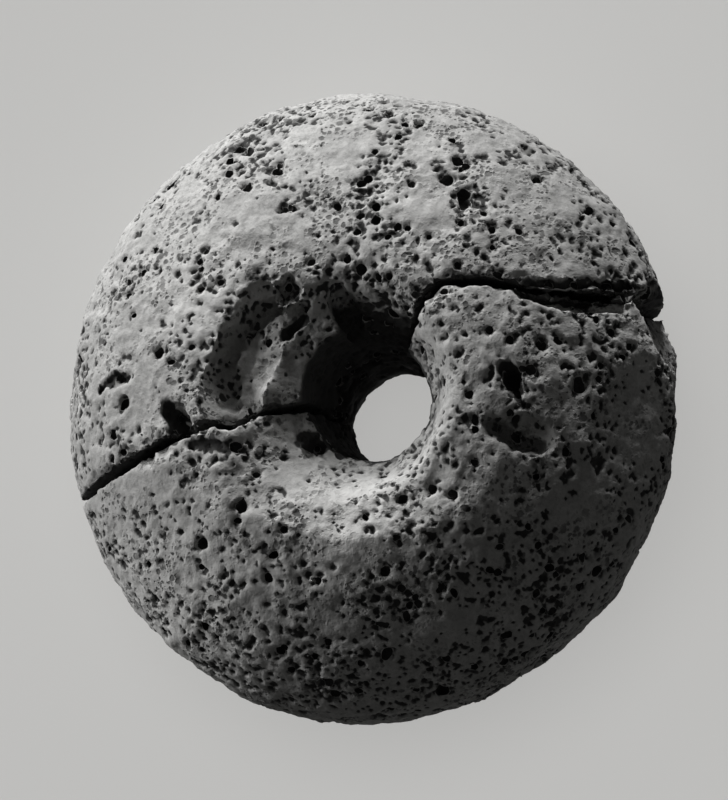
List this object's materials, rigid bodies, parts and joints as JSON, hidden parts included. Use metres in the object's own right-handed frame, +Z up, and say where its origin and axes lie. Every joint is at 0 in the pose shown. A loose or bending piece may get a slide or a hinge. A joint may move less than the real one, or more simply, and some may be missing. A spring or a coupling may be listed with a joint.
{
  "type": "stone spindle whorl",
  "caption": "Thick ring of porous volcanic stone, bored through to weight a drop spindle, with a worn funnel round the bore; broken across and set together.",
  "frame": {"origin": "centre of the footprint's bounding box, on the surface that the underside lies on", "axes": "+Z up along the upright bore, +Y towards the far half, +X to the right along the break"},
  "size_m": [0.0626, 0.0646, 0.0284],
  "materials": {
    "stone": "matt, porous and worn"
  },
  "bodies": {
    "root": {"whorl_far_half": "stone", "whorl_near_half": "stone"}
  },
  "joints": []
}
